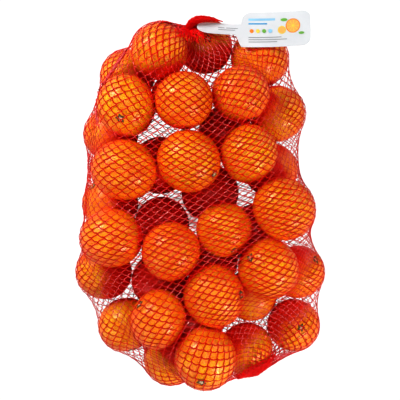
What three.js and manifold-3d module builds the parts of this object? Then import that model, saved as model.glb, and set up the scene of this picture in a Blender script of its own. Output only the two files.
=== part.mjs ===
// A knitted net of oranges lying flat: two layers of fruit under a taut net, the net's two gathered ends,
// and the film label that is held in the top gather. Millimetres, +Z up, +Y towards the top gather.
import * as THREE from "three";
import { mergeVertices } from "three/addons/utils/BufferGeometryUtils.js";
import Module from "manifold-3d";

const wasm = await Module();
wasm.setup();

// Driving dimensions.
const standoff = 1; // how far the net's outside stands off the peel
// The body that joins the fruit: the net, taut at the bag's sides, and drawn in between the fruit above
// and below.
const core = {
  columns: 36, // grid lines round the bag
  rings: 38, // grid lines from the top gather to the bottom one
  pullAlong: 2.6, // tension along the bag over the tension round it
  rounds: 1400, // steps of tightening
  pace: 0.9, // share of the way to balance that a point moves in one step
  sink: 5, // how far each step draws it in between the fruit
  sinkFrom: 0.05, // share of the bag's length at which it starts to sink
  sinkFull: 0.3, // and from which it sinks in full
  sunkTop: 36, // no lower than this from above
  sunkUnderside: 24, // no higher than this from below
};
const fruitFacets = { detail: 2, swell: 1.01 }; // how finely a fruit is divided; the swell keeps its girth
const neckRadius = 5; // the net's radius where it is gathered
const pressed = 0.7; // how much of the net under the lowest fruit is flattened against the table
const pleats = { count: 12, depth: 1.6, reach: 42 }; // folds that fan out from each gather
// The bag before it is tightened.
const bag = {
  halfWidth: 172,
  halfLength: 246,
  halfHeight: 96,
  middle: 58,
  fullness: 0.45,
  closing: 0.09, // share of its length over which each end closes
};
const partGap = 0.3; // between pieces that touch
const label = {
  strapLength: 50,
  strapHalfWidth: 6.2,
  tipHalfWidth: 0.6,
  tipLength: 14, // the strap's end narrows into the gather over this length
  bodyLength: 78,
  bodyHalfWidth: 20,
  shoulderRadius: 12, // upper corner beside the strap
  slant: 7, // length over which the lower edge steps down from the strap
  cornerRadius: 9, // the two far corners
  thickness: 0.5,
  startX: -3.5, // the strap's narrow end
  lowest: new THREE.Vector2(62, 191.2), // the middle line bows down to this point in plan
  bow: 0.0009,
  restHeight: 67.8, // the film's height along the line on which it lies on the fruit
  restLine: 171, // that line's place up the bag
  tilt: 0.15, // fall of the film for each millimetre up the bag
  droopFrom: 88, // the free end droops from here on
  droop: 0.0011,
};

// Lower layer, each fruit on the table: place across and up the bag, and diameter.
const lowerFruit = [
  [6, 178, 63],
  [70, 165, 66],
  [-83, 143, 63],
  [89, 100, 65],
  [-103, 76, 63],
  [30, 78, 63],
  [-44, 39, 66],
  [82, 35, 63],
  [10, 9, 66],
  [-103, -5, 64],
  [-45, -28, 64],
  [65, -35, 63],
  [15, -72, 62],
  [-111, -83, 65],
  [109, -86, 61],
  [-44, -93, 65],
  [59, -109, 60],
  [7, -134, 60],
  [-84.5, -145, 64],
  [106.5, -144, 60],
  [54, -172, 62],
  [-33, -179, 64],
  [-27, 120, 61],
].map(fruitAt);

// Upper layer, each fruit resting on those below.
const upperFruit = [
  [-45, 164.5, 64],
  [-18, 112, 65],
  [45, 117, 65],
  [-81, 102, 64],
  [54, 52, 63],
  [-83, 33, 68],
  [-13, 43, 68],
  [92, -9, 68],
  [26, -33, 62],
  [-99, -42, 65],
  [-31, -57, 65],
  [76, -75, 67],
  [14, -106, 66],
  [-47, -131, 66],
  [6, -174, 68],
].map(fruitAt);

// The gathered ends: where the net closes, and the way out of the bag there.
const topGather = {
  middle: new THREE.Vector3(-13, 195, 57),
  out: new THREE.Vector3(0.3, 0.7, 0.6).normalize(),
  tail: [
    [-9.5, 199.6, 62.5],
    [-3, 202.6, 66.6],
    [6, 203.2, 68],
    [15, 202.4, 67.5],
    [25.5, 200.4, 66.5],
  ],
  tailRadii: [4.7, 4.4, 3.7, 2.6, 0.6],
};
const bottomGather = {
  middle: new THREE.Vector3(68, -199.5, 9),
  out: new THREE.Vector3(-0.55, -0.8, -0.2).normalize(),
  tail: [
    [63.5, -203.5, 7.2],
    [57, -205.8, 5.8],
    [48, -207.4, 4.6],
    [39.5, -209.2, 3.4],
  ],
  tailRadii: [4.4, 4, 3.2, 1.2],
};

const finish = {
  net: new THREE.MeshStandardMaterial({ color: "#d8480f", roughness: 0.45, metalness: 0 }),
  yarn: new THREE.MeshStandardMaterial({ color: "#c8101c", roughness: 0.4, metalness: 0 }),
  film: new THREE.MeshStandardMaterial({ color: "#f1f1f3", roughness: 0.35, metalness: 0 }),
};

function fruitAt([x, y, across]) {
  const radius = across / 2;
  return { centre: new THREE.Vector3(x, y, tableHeight(radius)), radius };
}

// The height of a fruit's centre when it lies on the net on the table.
function tableHeight(radius) {
  return radius + standoff - pressed;
}

// Fruit that overlap are moved apart in plan, half of the overlap each.
function moveApart(fruit) {
  const rounds = 60;
  for (let round = 0; round < rounds; round++) {
    fruit.forEach((a, i) => {
      for (const b of fruit.slice(i + 1)) {
        const between = b.centre.clone().sub(a.centre);
        const overlap = a.radius + b.radius - between.length();
        if (overlap <= 0) continue;
        const push = between.setZ(0).setLength(overlap / 2);
        a.centre.sub(push);
        b.centre.add(push);
      }
    });
  }
}

// The height at which a fruit comes to rest on the ones below it, at its own place in plan.
function restingHeight(fruit, below) {
  const touching = below.map((other) => {
    const reach = fruit.radius + other.radius;
    const aside = Math.hypot(fruit.centre.x - other.centre.x, fruit.centre.y - other.centre.y);
    return aside < reach ? other.centre.z + Math.sqrt(reach ** 2 - aside ** 2) : 0;
  });
  return Math.max(tableHeight(fruit.radius), ...touching);
}

function stackFruit() {
  moveApart(lowerFruit);
  const rounds = 4;
  for (let round = 0; round < rounds; round++) {
    for (const fruit of upperFruit) fruit.centre.z = restingHeight(fruit, lowerFruit);
    moveApart(upperFruit);
  }
  for (const fruit of upperFruit) fruit.centre.z = restingHeight(fruit, lowerFruit);
  return [...lowerFruit, ...upperFruit];
}

// A point of the ring at which the net is gathered. The angle runs from the bag's +X side over its top.
function neckPoint(gather, angle, radius, end) {
  const side = new THREE.Vector3(1, 0, 0).addScaledVector(gather.out, -gather.out.x).normalize();
  const over = new THREE.Vector3().crossVectors(side, gather.out).multiplyScalar(end);
  return gather.middle
    .clone()
    .addScaledVector(side, radius * Math.cos(angle))
    .addScaledVector(over, radius * Math.sin(angle));
}

// The loose bag before it is tightened: a full round form that closes to the two gathers.
function looseNet() {
  const grid = [];
  for (let ring = 0; ring < core.rings; ring++) {
    const share = ring / (core.rings - 1);
    const swing = Math.PI * share;
    const girth = Math.sin(swing) ** bag.fullness;
    const gather = share < 0.5 ? topGather : bottomGather;
    const end = share < 0.5 ? 1 : -1;
    const openness = THREE.MathUtils.smoothstep(Math.min(share, 1 - share), 0, bag.closing);
    const row = [];
    for (let column = 0; column < core.columns; column++) {
      const angle = (2 * Math.PI * column) / core.columns;
      const wide = new THREE.Vector3(
        bag.halfWidth * girth * Math.cos(angle),
        bag.halfLength * Math.cos(swing),
        bag.middle + bag.halfHeight * girth * Math.sin(angle),
      );
      row.push(neckPoint(gather, angle, neckRadius, end).lerp(wide, openness));
    }
    grid.push(row);
  }
  return grid;
}

// Every grid point moves towards its four neighbours, then out of any fruit it has entered. The yarn
// stiffens as it stretches, so a neighbour pulls in step with its distance.
function tighten(grid, fruit) {
  const acrossCell = (bag.halfWidth + bag.halfHeight) / core.columns;
  const alongCell = bag.halfLength / core.rings;
  const alongWeight = core.pullAlong * (acrossCell / alongCell) ** 3;
  const target = new THREE.Vector3();
  const fromFruit = new THREE.Vector3();
  for (let round = 0; round < core.rounds; round++) {
    for (let ring = 1; ring < core.rings - 1; ring++) {
      for (let column = 0; column < core.columns; column++) {
        const point = grid[ring][column];
        const neighbours = [
          [grid[ring - 1][column], alongWeight],
          [grid[ring + 1][column], alongWeight],
          [grid[ring][(column + core.columns - 1) % core.columns], 1],
          [grid[ring][(column + 1) % core.columns], 1],
        ];
        let total = 0;
        target.set(0, 0, 0);
        for (const [neighbour, weight] of neighbours) {
          const pull = weight * point.distanceTo(neighbour);
          target.addScaledVector(neighbour, pull);
          total += pull;
        }
        point.lerp(target.divideScalar(total), core.pace);
        const out = normalAt(grid, ring, column);
        const room = out.z > 0 ? point.z > core.sunkTop : point.z < core.sunkUnderside;
        if (room) point.addScaledVector(out, -core.sink * looseness(ring) * out.z ** 2);
        for (const { centre, radius } of fruit) {
          if (fromFruit.subVectors(point, centre).lengthSq() < radius ** 2) {
            point.copy(centre).add(fromFruit.setLength(radius));
          }
        }
      }
    }
  }
}

// It sinks along the bag's middle and is drawn tight towards the gathers.
function looseness(ring) {
  const share = ring / (core.rings - 1);
  return THREE.MathUtils.smoothstep(Math.min(share, 1 - share), core.sinkFrom, core.sinkFull);
}

// Folds fan out from the gathers: the net is lifted off by a wave that dies away with distance.
function foldPleats(grid) {
  const lifts = grid.map((row, ring) =>
    row.map((point, column) => {
      const away = Math.min(
        point.distanceTo(topGather.middle),
        point.distanceTo(bottomGather.middle),
      );
      const fade = 1 - THREE.MathUtils.smoothstep(away, neckRadius, pleats.reach);
      const wave = (1 + Math.cos((2 * Math.PI * pleats.count * column) / core.columns)) / 2;
      if (ring === 0 || ring === core.rings - 1) return new THREE.Vector3();
      return normalAt(grid, ring, column).multiplyScalar(pleats.depth * fade * wave);
    }),
  );
  grid.forEach((row, ring) => row.forEach((point, column) => point.add(lifts[ring][column])));
}

function normalAt(grid, ring, column) {
  const row = grid[ring];
  const round = row[(column + 1) % core.columns]
    .clone()
    .sub(row[(column + core.columns - 1) % core.columns]);
  const along = grid[ring + 1][column].clone().sub(grid[ring - 1][column]);
  return round.cross(along).normalize();
}

// A closed body from rings of points, each ring turning the same way about the body's own run.
function closedLoft(rings) {
  const size = rings[0].length;
  const middles = [rings[0], rings.at(-1)].map((ring) =>
    ring.reduce((sum, p) => sum.add(p), new THREE.Vector3()).divideScalar(size),
  );
  const positions = [...rings.flat(), ...middles].flatMap((p) => [p.x, p.y, p.z]);
  const startMiddle = rings.length * size;
  const endMiddle = startMiddle + 1;
  const last = (rings.length - 1) * size;
  const faces = [];
  for (let side = 0; side < size; side++) {
    const next = (side + 1) % size;
    for (let ring = 0; ring < rings.length - 1; ring++) {
      const [a, b] = [ring * size + side, ring * size + next];
      faces.push(a, b, a + size, b, b + size, a + size);
    }
    faces.push(startMiddle, next, side, endMiddle, last + side, last + next);
  }
  const geometry = new THREE.BufferGeometry();
  geometry.setAttribute("position", new THREE.Float32BufferAttribute(positions, 3));
  geometry.setIndex(faces);
  return geometry;
}

function solidOf(geometry) {
  const bare = new THREE.BufferGeometry()
    .setAttribute("position", geometry.getAttribute("position"))
    .setIndex(geometry.index);
  const merged = mergeVertices(bare, 1e-4);
  return new wasm.Manifold(
    new wasm.Mesh({
      numProp: 3,
      vertProperties: new Float32Array(merged.attributes.position.array),
      triVerts: new Uint32Array(merged.index.array),
    }),
  );
}

function geometryOf(solid) {
  const mesh = solid.getMesh();
  return new THREE.BufferGeometry()
    .setAttribute("position", new THREE.Float32BufferAttribute(mesh.vertProperties, 3))
    .setIndex(new THREE.Uint32BufferAttribute(mesh.triVerts, 1));
}

// What lies below the table top is cut off, so the body stands on a small flat under each lower fruit.
function flattenUnderside(solid) {
  const depth = 20;
  const below = new THREE.BoxGeometry(2 * bag.halfWidth, 2 * bag.halfLength, depth);
  below.translate(0, 0, -depth / 2);
  return solid.subtract(solidOf(below));
}

// A fruit with the net on it.
function fruitGeometry({ centre, radius }) {
  const { detail, swell } = fruitFacets;
  const ball = new THREE.IcosahedronGeometry((radius + standoff) * swell, detail);
  return ball.translate(centre.x, centre.y, centre.z);
}

// Small hollows that the joined fruit close in are filled: only the outer surface is kept.
function outerBody(solid) {
  return solid.decompose().reduce((largest, body) => (body.volume() > largest.volume() ? body : largest));
}

// A gather's tail: a bundle of yarns whose ridged section narrows along its run.
function tailGeometry(gather) {
  const sides = 24;
  const steps = 12;
  const ridges = 8;
  const ridgeDepth = 0.12;
  const startRadius = neckRadius * 0.95;
  const start = gather.middle.clone().addScaledVector(gather.out, partGap);
  const run = new THREE.CatmullRomCurve3([
    start,
    ...gather.tail.map((p) => new THREE.Vector3(...p)),
  ]);
  const radii = [startRadius, ...gather.tailRadii];
  const frames = run.computeFrenetFrames(steps);
  const rings = [];
  for (let step = 0; step <= steps; step++) {
    const place = (step / steps) * (radii.length - 1);
    const from = Math.min(Math.floor(place), radii.length - 2);
    const radius = THREE.MathUtils.lerp(radii[from], radii[from + 1], place - from);
    const middle = run.getPoint(step / steps);
    const ring = [];
    for (let side = 0; side < sides; side++) {
      const angle = (2 * Math.PI * side) / sides;
      const out = radius * (1 - ridgeDepth * (0.5 + 0.5 * Math.cos(ridges * angle)));
      ring.push(
        middle
          .clone()
          .addScaledVector(step === 0 ? startSide(gather) : frames.normals[step], out * Math.cos(angle))
          .addScaledVector(step === 0 ? startOver(gather) : frames.binormals[step], out * Math.sin(angle)),
      );
    }
    rings.push(ring);
  }
  return closedLoft(rings);
}

// How far the label reaches up and down from its middle line, at a distance from the strap's end.
function labelEdges(along) {
  const { strapLength, strapHalfWidth, tipLength, tipHalfWidth, bodyLength, bodyHalfWidth } = label;
  const { shoulderRadius, slant, cornerRadius } = label;
  const whole = strapLength + bodyLength;
  const tip = Math.sqrt(Math.max(0, 1 - (1 - Math.min(1, along / tipLength)) ** 2));
  const tipWidth = THREE.MathUtils.lerp(tipHalfWidth, strapHalfWidth, tip);
  const arc = (radius, distance) =>
    distance >= radius ? 0 : radius - Math.sqrt(radius ** 2 - (radius - distance) ** 2);
  const farCorner = arc(cornerRadius, whole - along);
  if (along < strapLength - slant) return { up: tipWidth, down: tipWidth };
  const stepDown = THREE.MathUtils.smoothstep(along, strapLength - slant, strapLength);
  const down = THREE.MathUtils.lerp(strapHalfWidth, bodyHalfWidth, stepDown) - farCorner;
  if (along < strapLength) return { up: strapHalfWidth, down };
  return { up: bodyHalfWidth - arc(shoulderRadius, along - strapLength) - farCorner, down };
}

// The film's height where it leaves the gather, lies over the fruit and ends free.
function filmHeight(x, y) {
  const free = Math.max(0, x - label.droopFrom);
  return label.restHeight - label.tilt * (y - label.restLine) - label.droop * free ** 2;
}

function labelGeometry() {
  const columns = 60;
  const rows = 3;
  const crowding = 0.55; // how much closer the columns stand where the outline turns fastest
  const farEdge = 0.02; // the last column stays this far inside the round corners
  const whole = label.strapLength + label.bodyLength;
  const cuts = [];
  for (let column = 0; column <= columns; column++) {
    const share = column / columns;
    cuts.push(whole * (share - (crowding * Math.sin(4 * Math.PI * share)) / (4 * Math.PI)));
  }
  const rings = cuts.map((along) => {
    const { up, down } = labelEdges(Math.min(along, whole - farEdge));
    const x = label.startX + along;
    const middle = label.lowest.y + label.bow * (x - label.lowest.x) ** 2;
    const line = (lift, from, to) => {
      const points = [];
      for (let row = 0; row <= rows; row++) {
        const y = middle + THREE.MathUtils.lerp(from, to, row / rows);
        points.push(new THREE.Vector3(x, y, filmHeight(x, y) + lift));
      }
      return points;
    };
    return [...line(label.thickness, up, -down), ...line(0, -down, up)];
  });
  return closedLoft(rings);
}

function named(name, geometry, material) {
  const mesh = new THREE.Mesh(geometry, material);
  mesh.name = name;
  return mesh;
}

function startSide(gather) {
  return new THREE.Vector3(1, 0, 0).addScaledVector(gather.out, -gather.out.x).normalize();
}

function startOver(gather) {
  return new THREE.Vector3().crossVectors(gather.out, startSide(gather));
}

function netGeometry() {
  const fruit = stackFruit();
  const grid = looseNet();
  tighten(grid, fruit);
  foldPleats(grid);
  const joined = fruit.reduce(
    (solid, one) => solid.add(solidOf(fruitGeometry(one))),
    solidOf(closedLoft(grid)),
  );
  return geometryOf(outerBody(flattenUnderside(joined)));
}

// The origin is put under the middle of the whole object's box.
function centreOnTable(group) {
  const middle = new THREE.Box3().setFromObject(group).getCenter(new THREE.Vector3());
  for (const piece of group.children) piece.geometry.translate(-middle.x, -middle.y, 0);
}

const netOfOranges = new THREE.Group();
netOfOranges.add(named("filled_net", netGeometry(), finish.net));
netOfOranges.add(named("top_gather_tail", tailGeometry(topGather), finish.yarn));
netOfOranges.add(named("bottom_gather_tail", tailGeometry(bottomGather), finish.yarn));
netOfOranges.add(named("film_label", labelGeometry(), finish.film));
centreOnTable(netOfOranges);

export default netOfOranges;
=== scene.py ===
# Net of oranges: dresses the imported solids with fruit, knitted net, gathers and film label.
# Values in the dictionaries are millimetres unless a note says otherwise, in the plan's own
# axes; toFrame() turns them into the frame's metres. In the finishes, distances are metres
# and scales are per metre.
import math
import bpy
import numpy as np
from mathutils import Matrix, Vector, noise
from mathutils.bvhtree import BVHTree


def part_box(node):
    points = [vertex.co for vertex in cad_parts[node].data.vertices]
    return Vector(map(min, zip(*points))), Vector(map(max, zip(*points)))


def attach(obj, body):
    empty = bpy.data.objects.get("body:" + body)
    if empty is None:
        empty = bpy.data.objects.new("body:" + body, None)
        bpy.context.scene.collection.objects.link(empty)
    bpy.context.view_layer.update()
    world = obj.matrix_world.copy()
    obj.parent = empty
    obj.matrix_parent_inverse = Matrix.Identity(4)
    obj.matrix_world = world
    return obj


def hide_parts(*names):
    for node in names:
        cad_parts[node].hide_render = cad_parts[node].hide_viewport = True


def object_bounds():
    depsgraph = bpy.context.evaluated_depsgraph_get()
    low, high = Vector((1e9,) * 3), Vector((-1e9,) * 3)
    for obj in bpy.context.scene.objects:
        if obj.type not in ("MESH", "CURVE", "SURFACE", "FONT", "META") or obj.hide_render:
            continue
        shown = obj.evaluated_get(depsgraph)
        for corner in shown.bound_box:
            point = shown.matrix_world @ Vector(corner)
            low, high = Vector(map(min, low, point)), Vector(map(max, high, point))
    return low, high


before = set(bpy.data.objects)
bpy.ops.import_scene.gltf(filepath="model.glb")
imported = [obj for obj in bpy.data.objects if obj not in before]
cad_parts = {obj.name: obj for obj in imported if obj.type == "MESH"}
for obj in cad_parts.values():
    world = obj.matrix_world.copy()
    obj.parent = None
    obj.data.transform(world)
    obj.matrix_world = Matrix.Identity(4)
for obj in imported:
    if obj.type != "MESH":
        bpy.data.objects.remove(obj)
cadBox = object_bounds()
rng = np.random.default_rng(37)
body = "root"
mm = 0.001


def smoothStep(value, low, high):
    share = np.clip((value - low) / (high - low), 0, 1)
    return share * share * (3 - 2 * share)


def unit(vectors):
    return vectors / np.maximum(np.linalg.norm(vectors, axis=-1, keepdims=True), 1e-9)


# The film label's outline is known exactly, so it tells how far the plan lies from the frame.
labelSizes = {
    "strapLength": 50.0,
    "strapHalfWidth": 6.2,
    "tipLength": 14.0,
    "tipHalfWidth": 0.6,
    "bodyLength": 78.0,
    "bodyHalfWidth": 20.0,
    "shoulderRadius": 12.0,
    "slant": 7.0,
    "cornerRadius": 9.0,
    "thickness": 0.5,
    "startX": -3.5,
    "lowest": (62.0, 191.2),
    "bow": 0.0009,  # per millimetre, as is the droop
    "restHeight": 67.8,
    "restLine": 171.0,
    "tilt": 0.15,  # fall for each millimetre up the bag
    "droopFrom": 88.0,
    "droop": 0.0011,
    "columns": 72,
    "crowding": 0.55,  # how much closer the columns stand towards both ends
    "farEdge": 0.02,  # the last column stays this far inside the round corners
    "rows": 12,
    "smoothBelow": 40,  # degrees, the film's edges stay sharp
}


# Half widths above and below the label's middle line.
def labelEdges(along):
    s = labelSizes
    whole = s["strapLength"] + s["bodyLength"]
    tip = math.sqrt(max(0, 1 - (1 - min(1, along / s["tipLength"])) ** 2))
    strap = s["tipHalfWidth"] + (s["strapHalfWidth"] - s["tipHalfWidth"]) * tip

    def arc(radius, distance):
        return 0 if distance >= radius else radius - math.sqrt(radius**2 - (radius - distance) ** 2)

    corner = arc(s["cornerRadius"], whole - along)
    if along < s["strapLength"] - s["slant"]:
        return strap, strap
    step = float(smoothStep(along, s["strapLength"] - s["slant"], s["strapLength"]))
    down = s["strapHalfWidth"] + (s["bodyHalfWidth"] - s["strapHalfWidth"]) * step - corner
    if along < s["strapLength"]:
        return s["strapHalfWidth"], down
    return s["bodyHalfWidth"] - arc(s["shoulderRadius"], along - s["strapLength"]) - corner, down


# A place on the film: across is up from its middle line, lift is off its upper face.
def labelPoint(along, across, lift=0.0):
    s = labelSizes
    x = s["startX"] + along
    y = s["lowest"][1] + s["bow"] * (x - s["lowest"][0]) ** 2 + across
    fall = s["tilt"] * (y - s["restLine"]) + s["droop"] * max(0, x - s["droopFrom"]) ** 2
    return x, y, s["restHeight"] - fall + s["thickness"] + lift


def labelColumns():
    s = labelSizes
    whole = s["strapLength"] + s["bodyLength"]
    shares = np.arange(s["columns"] + 1) / s["columns"]
    crowded = shares - s["crowding"] * np.sin(4 * math.pi * shares) / (4 * math.pi)
    return np.minimum(whole * crowded, whole - s["farEdge"])


def planShift():
    top = max(labelPoint(a, labelEdges(a)[0])[1] for a in labelColumns())
    low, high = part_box("film_label")
    return np.array([low.x / mm - labelSizes["startX"], high.y / mm - top, 0.0])


shift = planShift()


def toFrame(points):
    return (np.asarray(points, float) + shift) * mm


# Place across and up the bag, diameter, where the stem end shows (in radii from the middle)
# and the least red of its peel, its own tone and painted crimson shade: high for deep fruit
# in the shade, below 0 where light comes round the other fruit.
lowerFruit = [
    (6, 178, 63, (0.105, 0.12), -0.50),
    (68.5, 163.5, 67, None, 0.15),
    (-83, 143, 63, None, -0.35),
    (89, 100, 65, None, -0.08),
    (-103, 76, 63, None, 0.15),
    (30, 78, 63, None, 0.90),
    (-44, 39, 66, (-0.34, 0.93), 0.90),
    (82, 35, 63, None, 0.38),
    (10, 9, 66, None, 0.85),
    (-103, -5, 64, (-0.62, 0.65), 0.10),
    (-45, -28, 64, None, 0.95),
    (65, -35, 63, None, 0.40),
    (15, -72, 62, None, 0.80),
    (-111, -83, 65, None, 0.10),
    (109, -86, 61, (0.63, 0.52), 0.15),
    (-46.5, -93, 65, (-0.68, 0.64), 0.90),
    (59, -109, 60, None, -0.80),
    (5, -132, 61, None, 0.80),
    (-84.5, -145, 64, (0.25, -0.93), -0.10),
    (106.5, -144, 60, (0.225, 0.02), 0.15),
    (54, -172, 62, None, -0.35),
    (-33, -179, 64, None, -0.20),
    (-27, 120, 61, None, 0.90),
]
upperFruit = [
    (-45, 164.5, 64, None, 0.15),
    (-18, 109.5, 64, None, 0.15),
    (44.5, 117, 65, (0.37, -0.92), 0.22),
    (-81, 104, 64, (-0.155, -0.50), 0.00),
    (54, 51, 63, None, 0.00),
    (-83, 33, 68, None, 0.15),
    (-12.5, 43, 68, (0.80, -0.43), 0.05),
    (92, -10.5, 68, None, 0.10),
    (26, -33, 62, (0.36, -0.75), 0.05),
    (-96.5, -42, 65, None, 0.20),
    (-31, -57, 65, None, 0.22),
    (76, -75, 67, (-0.65, 0.40), 0.15),
    (14, -106, 66, (0.91, 0.10), 0.20),
    (-46, -131.5, 62, (-0.70, 0.58), 0.20),
    (6, -172.5, 68, (-0.13, -0.65), 0.10),
]
# Fruit that are longer one way, by their place: its turn in degrees and how much longer.
longFruit = {
    (-81, 104): (101, 0.09),
    (54, 51): (90, 0.04),
    (-83, 33): (0, 0.08),
    (-12.5, 43): (-35, 0.05),
    (92, -10.5): (-62, 0.06),
    (-96.5, -42): (0, 0.08),
    (76, -75): (-40, 0.03),
    (14, -106): (-65, 0.07),
    (-46, -131.5): (80, 0.08),
    (6, -172.5): (90, 0.03),
}

stackRounds = {"apart": 60, "rest": 4, "height": 6}  # how often each step is repeated

netForm = {
    "standoff": 1.0,  # how far the net's surface stands off the peel
    "pressed": 0.7,  # how much of it the lowest fruit flatten on the table
    "columns": 35,  # the first grid
    "rings": 32,
    "finer": (1, 2, 3),  # how many times finer each grid is than the one before
    "rounds": (900, 900, 160),
    "quickRounds": (900, 600, 20),
    "pullAlong": 2.6,  # how much harder the net pulls along the bag than round it
    "slack": 0.26,  # how far the net sinks between the fruit in each round
    "slackRings": 64,  # the grid for which slack is given
    "pace": 0.45,  # share of the way that a point goes in each round
    "slackPace": 0.9,  # the pace for which slack is given
    "evenRounds": 220,
    "neckRadius": 5.0,
    "pleatCount": 12,
    "pleatDepth": 1.6,
    "pleatReach": 42.0,
    "halfWidth": 172.0,  # of the net before it is tightened
    "halfLength": 246.0,
    "halfHeight": 96.0,
    "middle": 58.0,
    "fullness": 0.45,  # the lower, the blunter its ends
    "closing": 0.09,  # share of the length over which each end closes
    "looseOver": (0.05, 0.3),  # shares from each end between which the slack sets in
    "topMiddle": (-13.0, 195.0, 57.0),
    "topOut": (0.3, 0.7, 0.6),
    "bottomMiddle": (68.0, -199.5, 9.0),
    "bottomOut": (-0.55, -0.8, -0.2),
}


def tableHeight(radius):
    return radius + netForm["standoff"] - netForm["pressed"]


# From a fruit's middle to its peel, the given way.
def reachAlong(one, way):
    lengthwise = way[0] * one[4] + way[1] * one[5]
    return one[3] / math.sqrt(1 + (1 / (1 + one[6]) ** 2 - 1) * lengthwise**2)


# Fruit that overlap are moved apart in plan, half of the overlap each.
def moveApart(fruit):
    for _ in range(stackRounds["apart"]):
        for i in range(len(fruit)):
            for j in range(i + 1, len(fruit)):
                between = fruit[j, :3] - fruit[i, :3]
                way = unit(between)
                reach = reachAlong(fruit[i], way) + reachAlong(fruit[j], way)
                overlap = reach - np.linalg.norm(between)
                if overlap > 0:
                    flat = unit(between[:2]) * overlap / 2
                    fruit[i, :2] -= flat
                    fruit[j, :2] += flat


# How high a fruit's middle lies when it rests on another, or the other's when it is clear of it.
def heightOn(one, other):
    aside = one[:2] - other[:2]
    rise = one[3]
    for _ in range(stackRounds["height"]):
        way = unit(np.array([*aside, rise]))
        reach = reachAlong(one, way) + reachAlong(other, way)
        rise = math.sqrt(max(0.0, reach**2 - aside @ aside))
    return other[2] + rise


def dropOn(fruit, below):
    for one in fruit:
        one[2] = max([tableHeight(one[3]), *(heightOn(one, other) for other in below)])


def fruitRow(x, y, width, *_):
    turn, longer = longFruit.get((x, y), (0, 0))
    turn = math.radians(turn)
    return x, y, tableHeight(width / 2), width / 2, math.cos(turn), math.sin(turn), longer


# All fruit as rows of x, y, z, radius, the long way and how much longer it is: the lower
# layer on the table, the upper on it.
def stackFruit():
    lower, upper = (
        np.array([fruitRow(*row) for row in layer]) for layer in (lowerFruit, upperFruit)
    )
    moveApart(lower)
    for _ in range(stackRounds["rest"]):
        dropOn(upper, lower)
        moveApart(upper)
    dropOn(upper, lower)
    return np.vstack([lower, upper])


# Offsets from fruit's middles, lengthened from those of round fruit or shortened to them.
def lengthen(offsets, fruit, by=None):
    ways = np.concatenate([fruit[..., 4:6], 0 * fruit[..., :1]], -1)
    by = fruit[..., 6:] if by is None else by
    return offsets + ways * (by * (offsets * ways).sum(-1, keepdims=True))


def shorten(offsets, fruit):
    return lengthen(offsets, fruit, 1 / (1 + fruit[..., 6:]) - 1)


# Distances from fruit's middles, with long fruit taken as round; points by fruit.
def roundDistance(points, fruit):
    middles, ways = fruit[:, :3], np.pad(fruit[:, 4:6], ((0, 0), (0, 1)))
    apart = (points**2).sum(1)[:, None] - 2 * points @ middles.T + (middles**2).sum(1)
    lengthwise = points @ ways.T - (middles * ways).sum(1)
    apart += (1 / (1 + fruit[:, 6]) ** 2 - 1) * lengthwise**2
    return np.sqrt(np.maximum(apart, 1e-6))


fruitPlaces = stackFruit()
print("fruit stacked:", len(fruitPlaces))


def looseNet(rings, columns):
    f = netForm
    share = np.arange(rings)[:, None] / (rings - 1)
    angle = 2 * math.pi * np.arange(columns)[None, :] / columns
    girth = np.sin(math.pi * share) ** f["fullness"]
    wide = np.stack(
        [
            f["halfWidth"] * girth * np.cos(angle),
            np.broadcast_to(f["halfLength"] * np.cos(math.pi * share), (rings, columns)),
            f["middle"] + f["halfHeight"] * girth * np.sin(angle),
        ],
        -1,
    )
    necks = []
    for end, key in ((1, "top"), (-1, "bottom")):
        out = unit(np.array(f[key + "Out"]))
        side = unit(np.array([1.0, 0, 0]) - out[0] * out)
        over = np.cross(side, out) * end
        ring = np.cos(angle)[..., None] * side + np.sin(angle)[..., None] * over
        necks.append(np.array(f[key + "Middle"]) + f["neckRadius"] * ring)
    neck = np.where(share[..., None] < 0.5, necks[0], necks[1])
    openness = smoothStep(np.minimum(share, 1 - share), 0, f["closing"])[..., None]
    return neck + (wide - neck) * openness


def gridNormals(grid):
    around = np.roll(grid, -1, 1) - np.roll(grid, 1, 1)
    along = np.gradient(grid, axis=0)
    return unit(np.cross(around, along))


# Each point moves towards its four neighbours, which pull in step with their distance,
# then out of the fruit that it is deepest in.
def tighten(grid, rounds):
    f = netForm
    rings, columns = grid.shape[:2]
    cell = ((f["halfWidth"] + f["halfHeight"]) / columns) / (f["halfLength"] / rings)
    pullAlong = f["pullAlong"] * cell**3
    share = np.arange(1, rings - 1)[:, None] / (rings - 1)
    loose = smoothStep(np.minimum(share, 1 - share), *f["looseOver"])
    step = f["slack"] * (f["slackRings"] / rings) ** 2 * f["pace"] / f["slackPace"]
    reach = fruitPlaces[:, 3] + f["standoff"]
    for _ in range(rounds):
        inner = grid[1:-1]
        ends = [
            (grid[:-2], pullAlong),
            (grid[2:], pullAlong),
            (np.roll(inner, 1, 1), 1),
            (np.roll(inner, -1, 1), 1),
        ]
        total, target = 0, 0
        for end, weight in ends:
            pull = weight * np.linalg.norm(end - inner, axis=-1, keepdims=True)
            total, target = total + pull, target + pull * end
        moved = inner + f["pace"] * (target / total - inner)
        out = gridNormals(grid)[1:-1]
        moved -= out * (step * loose * np.maximum(0, out[..., 2]) ** 2)[..., None]
        flat = moved.reshape(-1, 3)
        depth = reach - roundDistance(flat, fruitPlaces)
        deepest = depth.argmax(1)
        inside = depth[np.arange(len(flat)), deepest] > 0
        owner = fruitPlaces[deepest[inside]]
        away = unit(shorten(flat[inside] - owner[:, :3], owner))
        flat[inside] = owner[:, :3] + lengthen(away * reach[deepest[inside], None], owner)
        grid[1:-1] = flat.reshape(moved.shape)
    return grid


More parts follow.
